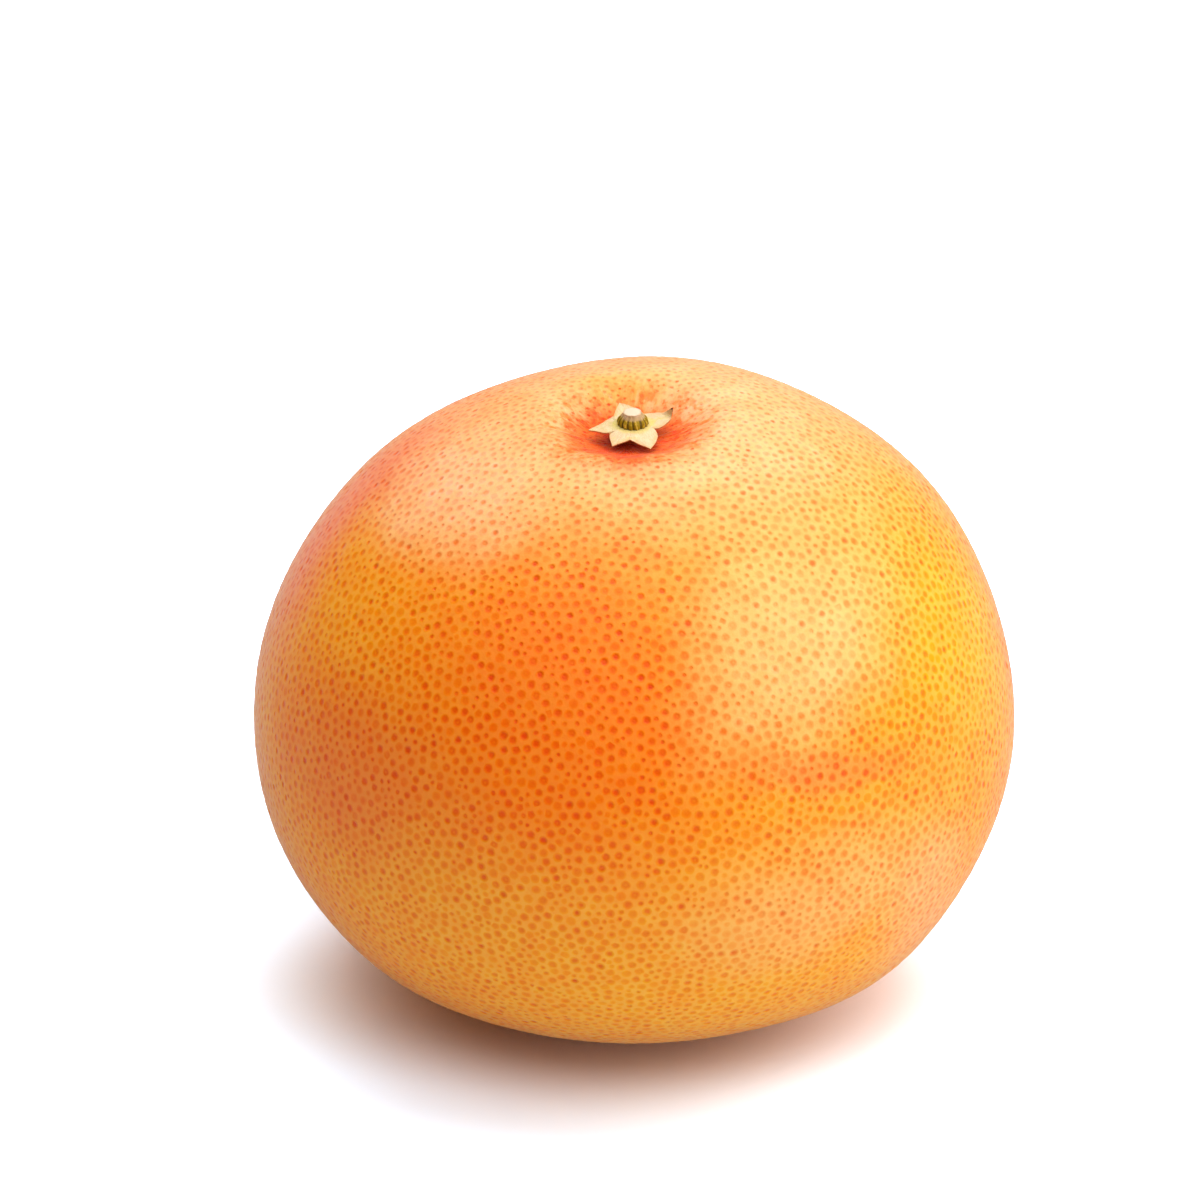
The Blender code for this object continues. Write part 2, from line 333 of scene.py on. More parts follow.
def make_blush_group():
    """One soft oval patch of colour on the peel, over the colour below it."""
    group, given, out = new_group(
        "blush",
        {
            "Direction": "NodeSocketVector",
            "Middle": "NodeSocketVector",
            "Across": "NodeSocketVector",
            "Along": "NodeSocketVector",
            "Strength": "NodeSocketFloat",
            "Below": "NodeSocketColor",
            "Blush": "NodeSocketColor",
        },
        {"Colour": "NodeSocketColor"},
    )
    apart = combine(group, "SUBTRACT", given["Direction"], given["Middle"])
    sideways = combine(group, "DOT_PRODUCT", apart, given["Across"], output="Value")
    upwards = combine(group, "DOT_PRODUCT", apart, given["Along"], output="Value")
    inwards = combine(group, "DOT_PRODUCT", apart, given["Middle"], output="Value")
    place = node(group, "ShaderNodeCombineXYZ", {0: sideways, 1: upwards, 2: inwards}).outputs[0]
    share = combine(group, "LENGTH", place, output="Value")
    strength = calculate(group, "MULTIPLY", fade(group, share, 1.25, 0.2), given["Strength"])
    group.links.new(blend_colours(group, strength, given["Below"], given["Blush"]), out["Colour"])
    return group


ORANGE = (0.93, 0.325, 0.002, 1.0)
RED_ORANGE = (0.95, 0.190, 0.001, 1.0)
HOLLOW_RED = (0.95, 0.185, 0.001, 1.0)
DULL_PINK = (0.86, 0.170, 0.018, 1.0)
PINK = (0.95, 0.20, 0.045, 1.0)
ROSE = (0.96, 0.24, 0.13, 1.0)
# Pale peach for the top and the upper left and lower right edges: partly the peel's own colour, partly
# painted highlight
PEACH_AND_PAINTED_HIGHLIGHT = (0.97, 0.48, 0.27, 1.0)
PALE_YELLOW = (0.97, 0.465, 0.15, 1.0)
YELLOW = (0.97, 0.415, 0.001, 1.0)
GOLDEN = (0.95, 0.42, 0.005, 1.0)
# Patches of colour: azimuth, elevation, half width, half height and turn in degrees, strength, colour
BLUSHES = (
    ("golden lower part", 290, -24, 80, 34, 0, 0.9, GOLDEN),
    # The peach patches on the top and at the upper left and lower right edges are partly painted highlight
    ("peach top", 50, 80, 48, 48, 0, 0.9, PEACH_AND_PAINTED_HIGHLIGHT),
    ("front from red to orange", 256, 30, 34, 30, 0, 0.95, RED_ORANGE),
    ("dull pink left side", 222, 13, 26, 15, 0, 0.75, DULL_PINK),
    ("peach upper left", 197, 58, 24, 16, 0, 0.95, PEACH_AND_PAINTED_HIGHLIGHT),
    ("rose upper left edge", 176, 38, 15, 28, 27, 0.85, ROSE),
    # The pale right shoulder is partly the peel's own pale yellow, partly a painted highlight
    ("pale right shoulder", 303, 37, 26, 15, 25, 1.0, PALE_YELLOW),
    ("reddish streak under it", 303, 17, 24, 4.5, -14, 0.45, PINK),
    ("yellow right side", 338, 27, 22, 24, 0, 0.8, YELLOW),
    ("golden below the streak", 302, -3, 26, 12, 0, 0.7, PALE_YELLOW),
    ("peach lower right edge", 322, -12, 12, 18, 0, 0.5, PEACH_AND_PAINTED_HIGHLIGHT),
    ("orange behind the stem", 92, 79, 11, 7, 0, 0.75, ORANGE),
    ("red round the stem", 258, 87, 13, 13, 0, 1.0, HOLLOW_RED),
    ("red at the back", 112, 30, 34, 28, 20, 0.9, RED_ORANGE),
    ("yellow at the back", 62, 34, 24, 26, -15, 0.8, PALE_YELLOW),
    ("pink right edge", 12, 2, 20, 22, 0, 0.7, PINK),
    ("golden back", 95, -22, 50, 24, 0, 0.7, GOLDEN),
    ("dull pink at the back left", 158, 6, 24, 20, 0, 0.7, DULL_PINK),
)
DRIFTS_PER_METRE = 38.0
DRIFT = 0.30
MOTTLE = (1.0, 0.86, 0.72, 1.0)
MOTTLES_PER_METRE = 260.0
PORE_STAIN = (0.88, 0.43, 0.0, 1.0)
HOLLOW_SHADE = (0.84, 0.54, 0.22, 1.0)
PIT_STAIN = (0.96, 0.66, 0.50, 1.0)
PIT_HALO = (1.0, 1.05, 1.15, 1.0)
BLOTCH = (1.0, 0.60, 0.27, 1.0)
BLOTCHES_PER_METRE = 640.0
STREAK_RED = (1.0, 0.62, 0.20, 1.0)
# Pale streaks round the stem: partly paler peel, partly painted glints on the radial wrinkles
STREAK_PALE_AND_GLINT = (1.0, 0.62, 0.33, 1.0)
STREAKS_ROUND_STEM = 11.0
STREAKS_PER_METRE = 330.0
STREAKS_END = 17.0 * MM
STREAKS_MIDDLE = (-0.7 * MM, -2.1 * MM, 0.0)
DIP_MIDDLE = (-1.0 * MM, -12.5 * MM, 0.0)
DIP_RADIUS = 5.0 * MM
DIP_SHADE = (0.78, 0.44, 0.25, 1.0)
SPECKLE = (1.0, 0.90, 0.80, 1.0)
SPECKLES_PER_METRE = 1500.0
# A pale net between the pores: partly the peel's own paler skin, partly painted highlight on its bumps
NET_PALE_AND_PAINTED_HIGHLIGHT = (1.0, 0.67, 0.18, 1.0)
NET_SHARE_ON_RED = 0.08
NET_SHARE_ON_YELLOW = 0.26
GREEN_OF_RED_SKIN = 0.18
GREEN_OF_YELLOW_SKIN = 0.46
WAVERS_PER_METRE = 1900.0
GRAINS_PER_METRE = 1000.0
DULL_SPOTS_PER_METRE = 700.0
PEEL_BUMP = 0.08 * MM
SHEEN_TINT = (1.0, 0.86, 0.80, 1.0)
WITHOUT_HEIGHT = (1.0, 1.0, 0.0)


def blushed_peel(tree, place):
    """The colour of the peel without its pores: soft patches over orange, with wavering borders."""
    blush = make_blush_group()
    from_middle = combine(tree, "SUBTRACT", place, (0, 0, LOWER_HEIGHT))
    drift = noise(tree, place, DRIFTS_PER_METRE, 3.0, 0.6, "Color")
    drift = combine(tree, "SUBTRACT", drift, (0.5, 0.5, 0.5))
    drift = combine(tree, "MULTIPLY", drift, (DRIFT, DRIFT, DRIFT))
    direction = combine(tree, "ADD", combine(tree, "NORMALIZE", from_middle), drift)
    colour = ORANGE
    for title, azimuth, elevation, half_width, half_height, turn, strength, patch in BLUSHES:
        level, upright = toward(azimuth + 90, 0), toward(azimuth, elevation + 90)
        turned, sines = math.cos(math.radians(turn)), math.sin(math.radians(turn))
        inputs = {
            "Direction": direction,
            "Middle": toward(azimuth, elevation),
            "Across": (turned * level + sines * upright) / math.sin(math.radians(half_width)),
            "Along": (turned * upright - sines * level) / math.sin(math.radians(half_height)),
            "Strength": strength,
            "Below": colour,
            "Blush": patch,
        }
        made = node(tree, "ShaderNodeGroup", inputs, node_tree=blush, label=title)
        colour = made.outputs["Colour"]
    return colour


def stem_streaks(tree, place):
    """Streaks that run out from the stem, and how near the stem they are."""
    level = combine(tree, "MULTIPLY", combine(tree, "SUBTRACT", place, STREAKS_MIDDLE), WITHOUT_HEIGHT)
    distance = combine(tree, "LENGTH", level, output="Value")
    heading = combine(tree, "MULTIPLY", combine(tree, "NORMALIZE", level), (STREAKS_ROUND_STEM,) * 3)
    along = calculate(tree, "MULTIPLY", distance, STREAKS_PER_METRE)
    outward = node(tree, "ShaderNodeCombineXYZ", {2: along}).outputs[0]
    streaks = noise(tree, combine(tree, "ADD", heading, outward), 1.0, 3.0, 0.6)
    height = node(tree, "ShaderNodeSeparateXYZ", {0: place}).outputs[2]
    upper = calculate(tree, "GREATER_THAN", height, LOWER_HEIGHT)
    return streaks, calculate(tree, "MULTIPLY", fade(tree, distance, STREAKS_END, 0.3 * STREAKS_END), upper)


def make_peel_material():
    material, tree, shader = new_material("peel")
    place = node(tree, "ShaderNodeTexCoord").outputs["Object"]
    colour = blushed_peel(tree, place)
    mottle = fade(tree, noise(tree, place, MOTTLES_PER_METRE, 3.0, 0.6), 0.3, 0.7)
    colour = tinted(tree, mottle, colour, MOTTLE)
    speckle = noise(tree, place, SPECKLES_PER_METRE, 3.0, 0.7)
    colour = tinted(tree, fade(tree, speckle, 0.45, 0.62), colour, SPECKLE)
    streaks, at_stem = stem_streaks(tree, place)
    in_hollow = fade(tree, at_stem, 0.55, 0.95)
    blotches = fade(tree, noise(tree, place, BLOTCHES_PER_METRE, 3.0, 0.6), 0.50, 0.62)
    blotches = calculate(tree, "MULTIPLY", blotches, calculate(tree, "MULTIPLY", at_stem, 2.0))
    colour = tinted(tree, calculate(tree, "MINIMUM", blotches, 1.0), colour, BLOTCH)
    reddened = calculate(tree, "MULTIPLY", at_stem, fade(tree, streaks, 0.50, 0.66))
    off_wall = calculate(tree, "MULTIPLY", at_stem, fade(tree, at_stem, 0.95, 0.60))
    paled_and_glinting = calculate(tree, "MULTIPLY", off_wall, fade(tree, streaks, 0.47, 0.33))

    radius, tone, deep = node(tree, "ShaderNodeSeparateXYZ", {0: attribute(tree, "pore_look")}).outputs
    distance = combine(tree, "LENGTH", attribute(tree, "pore_offset"), output="Value")
    waver = noise(tree, place, WAVERS_PER_METRE)
    distance = calculate(tree, "ADD", distance, calculate(tree, "MULTIPLY_ADD", waver, 0.24, -0.12))
    share = calculate(tree, "DIVIDE", distance, radius)
    inside = fade(tree, attribute(tree, "across_cell", "Fac"), 0.98, 0.80)
    disc = calculate(tree, "MULTIPLY", fade(tree, share, 1.36, 0.38), inside)
    kind = calculate(tree, "FRACT", calculate(tree, "MULTIPLY", tone, 17.0))
    middle = calculate(tree, "MULTIPLY", fade(tree, share, 0.7, 0.1), fade(tree, kind, 0.4, 1.0))
    stain = calculate(tree, "MULTIPLY", disc, fade(tree, tone, 0.10, 1.0, 0.32, 1.0))
    stain = calculate(tree, "MULTIPLY", stain, calculate(tree, "MULTIPLY_ADD", middle, -0.45, 1.0))
    greenness = node(tree, "ShaderNodeSeparateColor", {0: colour}).outputs[1]
    yellowness = fade(tree, greenness, GREEN_OF_RED_SKIN, GREEN_OF_YELLOW_SKIN)
    weaker = calculate(tree, "MULTIPLY_ADD", yellowness, -0.45, 1.0)
    stain = calculate(tree, "MULTIPLY", stain, weaker)
    net = fade(tree, calculate(tree, "SUBTRACT", distance, radius), 0.0, 0.26)
    more = NET_SHARE_ON_YELLOW - NET_SHARE_ON_RED
    net_share = calculate(tree, "MULTIPLY_ADD", yellowness, more, NET_SHARE_ON_RED)
    net = calculate(tree, "MULTIPLY", net, net_share)
    net = calculate(tree, "MULTIPLY", net, calculate(tree, "MULTIPLY_ADD", at_stem, -0.8, 1.0))
    # Painted highlight, with the peel's own paler skin: the net between the pores is blended toward pale
    colour = blend_colours(tree, net, colour, NET_PALE_AND_PAINTED_HIGHLIGHT)
    halo = calculate(tree, "MULTIPLY", fade(tree, share, 2.2, 1.4), deep)
    colour = tinted(tree, halo, colour, PIT_HALO)
    colour = tinted(tree, stain, colour, PORE_STAIN)
    pit = calculate(tree, "MULTIPLY", fade(tree, share, 0.9, 0.2), deep)
    colour = tinted(tree, pit, colour, PIT_STAIN)
    colour = tinted(tree, in_hollow, colour, HOLLOW_SHADE)
    level = combine(tree, "MULTIPLY", place, WITHOUT_HEIGHT)
    from_dip = combine(tree, "DISTANCE", level, DIP_MIDDLE, output="Value")
    dip = calculate(tree, "MULTIPLY", fade(tree, from_dip, DIP_RADIUS, 0.3 * DIP_RADIUS), at_stem)
    colour = tinted(tree, dip, colour, DIP_SHADE)
    colour = tinted(tree, reddened, colour, STREAK_RED)
    # Painted glints, with paler peel: pale streaks on the radial wrinkles round the stem
    colour = blend_colours(tree, calculate(tree, "MULTIPLY", paled_and_glinting, 0.4), colour, STREAK_PALE_AND_GLINT)
    tree.links.new(colour, shader.inputs["Base Color"])

    height = fade(tree, share, 1.2, 0.35, 0.0, -0.85)
    height = calculate(tree, "MULTIPLY", height, calculate(tree, "MULTIPLY_ADD", deep, 0.6, tone))
    height = calculate(tree, "MULTIPLY_ADD", calculate(tree, "MULTIPLY", at_stem, streaks), 5.0, height)
    grain = noise(tree, place, GRAINS_PER_METRE, 4.0, 0.6)
    height = calculate(tree, "MULTIPLY_ADD", grain, 0.95, height)
    bump = node(tree, "ShaderNodeBump", {"Height": height, "Strength": 1.0, "Distance": PEEL_BUMP})
    tree.links.new(bump.outputs["Normal"], shader.inputs["Normal"])
    roughness = fade(tree, noise(tree, place, DULL_SPOTS_PER_METRE, 3.0), 0.3, 0.7, 0.28, 0.42)
    roughness = calculate(tree, "MULTIPLY_ADD", in_hollow, 0.35, roughness)
    tree.links.new(roughness, shader.inputs["Roughness"])
    shader.inputs["Specular IOR Level"].default_value = 0.20
    shader.inputs["Sheen Weight"].default_value = 0.30
    shader.inputs["Sheen Roughness"].default_value = 0.28
    shader.inputs["Sheen Tint"].default_value = SHEEN_TINT
    return material


chance = np.random.default_rng(PORE_SEED)
pores = throw_pores(chance)
is_large = chance.random(len(pores)) < LARGE_PORE_SHARE
large_room = chance.uniform(*LARGE_PORE_ROOM, len(pores))
small_room = chance.uniform(*SMALL_PORE_ROOM, len(pores))
pore_room = np.where(is_large, large_room, small_room)
pores = settle_pores(pores, pore_room)
net = pore_hull(pores)
between_pores = net.edges[:]
bmesh.ops.poke(net, faces=net.faces)
bmesh.ops.rotate_edges(net, edges=between_pores)
bmesh.ops.recalc_face_normals(net, faces=net.faces)
peel_mesh = bpy.data.meshes.new("peel")
net.to_mesh(peel_mesh)
net.free()
shape_peel(peel_mesh, pore_room, is_large, chance)
new_piece("peel", peel_mesh, make_peel_material(), "fruit")


# The calyx: five sepals on a short round foot, the dried rest of the flower's green cup. It grew as
# one papery piece round the stem, with veins along each sepal, brown edges and one curled tip.
STAR_TOP_ABOVE_FLOOR = 2.0 * MM
SHEET_THICKNESS = 0.44 * MM
EDGE_THICKNESS = 0.16 * MM
SEAT_RADIUS = 2.6 * MM
FOOT_RADIUS = 2.7 * MM
# Sepals: azimuth in degrees, length and height of the tip, and how full its two edges are
SEPALS = (
    (17, 6.0 * MM, 0.6 * MM, 0.80, 1.90),
    (112, 4.8 * MM, 0.8 * MM, 0.95, 1.40),
    (196, 6.2 * MM, -0.2 * MM, 2.00, 0.95),
    (244, 6.3 * MM, -0.4 * MM, 1.05, 1.05),
    (290, 6.9 * MM, -0.4 * MM, 1.60, 1.05),
)
# Each sepal ends in a narrow point of this length
SEPAL_POINT = 0.35 * MM
POINT_START = 8
# Notches between the sepals: azimuth in degrees, radius and height, each before its sepal
NOTCHES = (
    (-21, 3.1 * MM, 0.0),
    (69, 3.5 * MM, 0.25 * MM),
    (150, 3.2 * MM, 0.1 * MM),
    (222, 4.4 * MM, -0.15 * MM),
    (264, 4.7 * MM, -0.05 * MM),
)
STEPS_PER_EDGE = 26
STAR_RINGS = 30
SEAT_RINGS = 6
CURLED_SEPAL = 0
CURL_START = 0.86
CURL_RISE = 1.0 * MM
CURL_BACK = 0.45 * MM
FOLDED_SEPAL = 2
FOLD_SLOPE = 0.12
DROOP_PER_METRE = (60.0, 20.0, 0.0, 15.0, 20.0)
WAVE_HEIGHT = 0.16 * MM
WAVE_LENGTH = 2.4 * MM
WRINKLE_HEIGHT = 0.06 * MM
WRINKLE_SPACING = 0.34 * MM
WRINKLE_STRETCH = 5
RAGGEDNESS = 0.07 * MM
RAGS_ROUND_STEM = 14
SHARP_ANGLE = math.radians(60)


def star_edge(step):
    """The sepal, azimuth, radius and height of the star's outline at this step, and how far it curls."""
    edge, along = divmod(step, STEPS_PER_EDGE)
    sepal, falling = divmod(edge, 2)
    share = along / STEPS_PER_EDGE
    tip_azimuth, tip_radius, tip_height, rising_edge, falling_edge = SEPALS[sepal]
    if falling:
        notch_azimuth, notch_radius, notch_height = NOTCHES[(sepal + 1) % len(NOTCHES)]
        nearness, fullness = 1 - share, falling_edge
    else:
        notch_azimuth, notch_radius, notch_height = NOTCHES[sepal]
        nearness, fullness = share, rising_edge
    notch = math.radians(notch_azimuth)
    azimuth = notch + azimuth_gap(math.radians(tip_azimuth), notch_azimuth) * nearness
    radius = notch_radius + (tip_radius - notch_radius) * nearness**fullness
    radius += SEPAL_POINT * nearness**POINT_START
    ragged = rough.noise(Vector((math.cos(azimuth), math.sin(azimuth), 0)) * RAGS_ROUND_STEM)
    radius += RAGGEDNESS * ragged * (1 - nearness**6)
    height = notch_height + (tip_height - notch_height) * nearness
    curl = max(0.0, 4 * nearness - 3) if sepal == CURLED_SEPAL else 0.0
    return sepal, azimuth, radius, height, curl


def sepal_relief(sepal, across, out, beyond):
    """How the sepal rises and falls over its width, with a fold or droop, waves and fine wrinkles."""
    fold = FOLD_SLOPE * abs(across) if sepal == FOLDED_SEPAL else 0.0
    droop = DROOP_PER_METRE[sepal] * across**2
    wave = WAVE_HEIGHT * rough.noise(Vector((across, out, sepal * WAVE_LENGTH * 3)) / WAVE_LENGTH)
    stretched = Vector((across, out / WRINKLE_STRETCH, sepal * WRINKLE_SPACING))
    wrinkle = WRINKLE_HEIGHT * rough.noise(stretched / WRINKLE_SPACING)
    return (fold - droop + wave) * beyond + wrinkle * min(1.0, 4 * beyond)


def star_place(step, ring, layer):
    """A point of the calyx: its place, its place on its sepal, and how near the edge and curled it is."""
    sepal, azimuth, radius, height, curl = star_edge(step)
    if ring <= SEAT_RINGS:
        out, beyond = SEAT_RADIUS * ring / SEAT_RINGS, 0.0
    else:
        beyond = (ring - SEAT_RINGS) / (STAR_RINGS - SEAT_RINGS)
        out = SEAT_RADIUS + (radius - SEAT_RADIUS) * beyond
    off_middle = azimuth - math.radians(SEPALS[sepal][0])
    off_middle = (off_middle + math.pi) % (2 * math.pi) - math.pi
    across, along = out * math.sin(off_middle), out * math.cos(off_middle)
    curled = curl * max(0.0, (out / radius - CURL_START) / (1 - CURL_START)) ** 2
    lift = height * beyond**1.5 + CURL_RISE * curled + sepal_relief(sepal, across, along, beyond)
    thickness = SHEET_THICKNESS + (EDGE_THICKNESS - SHEET_THICKNESS) * beyond**2
    out -= CURL_BACK * curled
    place = Vector((out * math.cos(azimuth), out * math.sin(azimuth), lift - (0 if layer else thickness)))
    return place, (across / MM, along / MM, 5.0 * sepal), (beyond, curled, 1.0 - layer)


def turn_profile(points, steps):
    """A bmesh of these points, joined in a row and turned round the stem."""
    shape = bmesh.new()
    profile = [shape.verts.new(point) for point in points]
    edges = [shape.edges.new(pair) for pair in zip(profile, profile[1:])]
    turn = {"axis": (0, 0, 1), "cent": (0, 0, 0), "angle": 2 * math.pi, "steps": steps}
    bmesh.ops.spin(shape, geom=profile + edges, use_merge=True, **turn)
    bmesh.ops.remove_doubles(shape, verts=shape.verts, dist=1e-4)
    return shape


def finish_mesh(shape, name, looks):
    """The mesh of this bmesh, with these vectors on its points."""
    bmesh.ops.recalc_face_normals(shape, faces=shape.faces)
    mesh = bpy.data.meshes.new(name)
    shape.to_mesh(mesh)
    shape.free()
    for title, values in looks.items():
        mesh.attributes.new(title, "FLOAT_VECTOR", "POINT").data.foreach_set("vector", np.ravel(values))
    mesh.shade_smooth()
    mesh.set_sharp_from_angle(angle=SHARP_ANGLE)
    return mesh


def make_calyx_mesh(floor_height):
    """The calyx: a closed profile turned round the stem, then drawn out into five sepals on a foot."""
    steps = 2 * len(SEPALS) * STEPS_PER_EDGE
    points = [(ring, 0, 1) for ring in range(STAR_RINGS + 1)]
    points += [(ring, 0, 0) for ring in range(STAR_RINGS, SEAT_RINGS - 2, -1)]
    shape = turn_profile([*points, (SEAT_RINGS, 0, -1), (0, 0, -1)], steps)
    on_sepal, look = [], []
    for vertex in shape.verts:
        ring, layer = vertex.co.xy.length, round(vertex.co.z)
        turned = math.atan2(vertex.co.y, vertex.co.x) % (2 * math.pi)
        step = round(turned / (2 * math.pi) * steps) % steps
        place, where, how = star_place(step, ring, max(layer, 0))
        if layer < 0 and ring > 0.5:
            place = Vector((*(place.xy.normalized() * FOOT_RADIUS), -STAR_TOP_ABOVE_FLOOR))
        elif layer < 0:
            place = Vector((0, 0, -STAR_TOP_ABOVE_FLOOR))
        vertex.co = place + Vector((0, 0, floor_height + STAR_TOP_ABOVE_FLOOR))
        on_sepal.append(where)
        look.append(how)
    return finish_mesh(shape, "calyx_sepals", {"on_sepal": on_sepal, "sepal_look": look})


SEPAL_CREAM = (0.76, 0.56, 0.32, 1.0)
SEPAL_PINKISH = (0.78, 0.50, 0.28, 1.0)
SEPAL_GREENISH = (0.69, 0.53, 0.13, 1.0)
SEPAL_EDGE = (0.72, 0.42, 0.17, 1.0)
# Painted shade for the underside of the calyx, which faces the peel
UNDERSIDE_PAINTED_SHADE = (0.50, 0.24, 0.10, 1.0)
VEIN_BROWN = (0.50, 0.34, 0.10, 1.0)
VEIN_GREEN = (0.42, 0.38, 0.08, 1.0)
DRY_TIP = (0.075, 0.035, 0.010, 1.0)
SPOT = (4.6, -0.9, 0.0)
CLOUDS_PER_METRE = 520.0
PINKISH_CLOUDS_PER_METRE = 380.0
VEINS_PER_MILLIMETRE = 4.2
SPECKS_PER_METRE = 5200.0
RAGS_PER_METRE = 1500.0
DRY_SPOTS_PER_METRE = 2500.0
SEPAL_GRAINS_PER_METRE = 3600.0
SEPAL_BUMP = 0.08 * MM


def make_sepal_material():
    material, tree, shader = new_material("dry_sepal")
    place = node(tree, "ShaderNodeTexCoord").outputs["Object"]
    on_sepal = attribute(tree, "on_sepal")
    edge, curl, under = node(tree, "ShaderNodeSeparateXYZ", {0: attribute(tree, "sepal_look")}).outputs
    sepal_number = node(tree, "ShaderNodeSeparateXYZ", {0: on_sepal}).outputs[2]
    folded = calculate(tree, "COMPARE", sepal_number, 5.0 * FOLDED_SEPAL, 0.5)

    cloud = noise(tree, place, CLOUDS_PER_METRE, 3.0, 0.6)
    colour = blend_colours(tree, fade(tree, cloud, 0.50, 0.72), SEPAL_CREAM, SEPAL_GREENISH)
    pinkish = fade(tree, noise(tree, place, PINKISH_CLOUDS_PER_METRE), 0.45, 0.68)
    colour = blend_colours(tree, pinkish, colour, SEPAL_PINKISH)
    colour = blend_colours(tree, fade(tree, edge, 0.30, 0.0, 0.0, 0.8), colour, SEPAL_GREENISH)

    stretched = combine(tree, "MULTIPLY", on_sepal, (1.0, 0.16, 1.0))
    veins = noise(tree, stretched, VEINS_PER_MILLIMETRE, 3.0, 0.55)
    lines = fade(tree, calculate(tree, "ABSOLUTE", calculate(tree, "SUBTRACT", veins, 0.5)), 0.045, 0.0)
    line_strength = calculate(tree, "MULTIPLY", lines, calculate(tree, "MULTIPLY_ADD", folded, 0.45, 0.38))
    colour = blend_colours(tree, line_strength, colour, blend_colours(tree, folded, VEIN_BROWN, VEIN_GREEN))
    specks = fade(tree, noise(tree, place, SPECKS_PER_METRE), 0.60, 0.74, 0.0, 0.6)
    colour = blend_colours(tree, specks, colour, VEIN_BROWN)
    from_spot = combine(tree, "DISTANCE", on_sepal, SPOT, output="Value")
    ragged_edge = calculate(tree, "ADD", edge, noise(tree, place, RAGS_PER_METRE))
    rim = fade(tree, ragged_edge, 1.15, 1.50, 0.0, 0.75)
    colour = blend_colours(tree, rim, colour, SEPAL_EDGE)
    colour = blend_colours(tree, fade(tree, from_spot, 0.22, 0.08, 0.0, 0.8), colour, DRY_TIP)
    dry = calculate(tree, "MULTIPLY_ADD", noise(tree, place, DRY_SPOTS_PER_METRE), 0.2, curl)
    colour = blend_colours(tree, fade(tree, dry, 0.70, 0.90), colour, DRY_TIP)
    # Painted shade: the underside of the sepals and the foot are darkened to a red brown
    colour = tinted(tree, under, colour, UNDERSIDE_PAINTED_SHADE)
    tree.links.new(colour, shader.inputs["Base Color"])

    grain = noise(tree, place, SEPAL_GRAINS_PER_METRE, 3.0)
    height = calculate(tree, "MULTIPLY_ADD", veins, 1.5, grain)
    bump = node(tree, "ShaderNodeBump", {"Height": height, "Strength": 1.0, "Distance": SEPAL_BUMP})
    tree.links.new(bump.outputs["Normal"], shader.inputs["Normal"])
    tree.links.new(fade(tree, cloud, 0.3, 0.7, 0.5, 0.72), shader.inputs["Roughness"])
    return material


hollow_floor = peel_places(np.array([[0.0, 0.0, 1.0]]))[0, 2]
new_piece("calyx_sepals", make_calyx_mesh(hollow_floor), make_sepal_material(), "calyx")


# The stem end: what is left of the woody green stem, cut off just above the calyx. It spreads to a
# ribbed base that sits on the calyx, and its cut face has dried pale, with a thin raised rim.
STUB_BASE_RADIUS = 2.25 * MM
STUB_TOP_RADIUS = 1.3 * MM
STUB_HEIGHT = 2.0 * MM
STUB_SINK = 0.08 * MM
STUB_RIBS = 15
STUB_RIB_DEPTH = 0.15 * MM
# How the ribs wander round the stem: waves round it, their height and where they start
RIB_WANDER = ((3, 0.10, 1.0), (5, 0.07, 2.0))
STUB_LEAN = Vector((-0.1 * MM, 0.0, 0.0))
STUB_STEPS = 150
STUB_SIDE_LEVELS = 18
STUB_FACE_RINGS = 8
STUB_WIDEST = 0.1
RIM_HEIGHT = 0.07 * MM
RIM_WIDTH = 0.08
RIM_LEVEL = 0.94
FACE_DOME = 0.10 * MM
BARK_ROUGHNESS = 0.07 * MM
STEM_BUMP = 0.07 * MM


def stub_spread(share):
    """How far the side spreads at this share of the height, from none at the rim to full at its widest."""
    if share <= STUB_WIDEST:
        return 1.0 - 0.12 * (1 - share / STUB_WIDEST) ** 2
    return 0.5 + 0.5 * math.cos(math.pi * min(1.0, (share - STUB_WIDEST) / (1 - STUB_WIDEST)) ** 1.5)


def stub_place(turn, level):
    """A point of the stem end, and where it is: the rib's height, the share of the height, and the face."""
    side = min(level, STUB_SIDE_LEVELS) / STUB_SIDE_LEVELS
    face = max(0, level - STUB_SIDE_LEVELS) / STUB_FACE_RINGS
    wander = sum(height * math.sin(waves * turn + start) for waves, height, start in RIB_WANDER)
    rib = 0.5 + 0.5 * math.cos(STUB_RIBS * (turn + wander * (0.4 + side)))
    radius = STUB_TOP_RADIUS + (STUB_BASE_RADIUS - STUB_TOP_RADIUS) * stub_spread(side)
    radius -= STUB_RIB_DEPTH * (1 - rib**1.5) * (1 - 0.8 * side**2)
    heading = Vector((math.cos(turn), math.sin(turn), 0))
    grain = rough.noise(heading * 7 + Vector((0, 0, side * 4)))
    radius += BARK_ROUGHNESS * grain * (1 - side)
    radius *= 1 - face
    rise = STUB_HEIGHT * RIM_LEVEL * side
    if level >= STUB_SIDE_LEVELS:
        rise += RIM_HEIGHT * math.exp(-(((face - RIM_WIDTH) / RIM_WIDTH) ** 2))
    rise += FACE_DOME * (1 - (1 - face) ** 2) * (face > 0)
    place = heading * radius + STUB_LEAN * side + Vector((0, 0, rise))
    return place, (rib, side, face)


def make_stub_mesh(base_height):
    """The stem end: a profile turned round the stem, closed by a flat base and a domed cut face."""
    top = STUB_SIDE_LEVELS + STUB_FACE_RINGS
    side = [(1, 0, level) for level in range(top)]
    shape = turn_profile([(0, 0, -1), *side, (0, 0, top)], STUB_STEPS)
    look = []
    for vertex in shape.verts:
        level = round(vertex.co.z)
        place, how = stub_place(math.atan2(vertex.co.y, vertex.co.x), max(level, 0))
        if level < 0:
            place = Vector()
        vertex.co = place + Vector((0, 0, base_height))
        look.append(how)
    return finish_mesh(shape, "stem_end", {"stub_look": look})


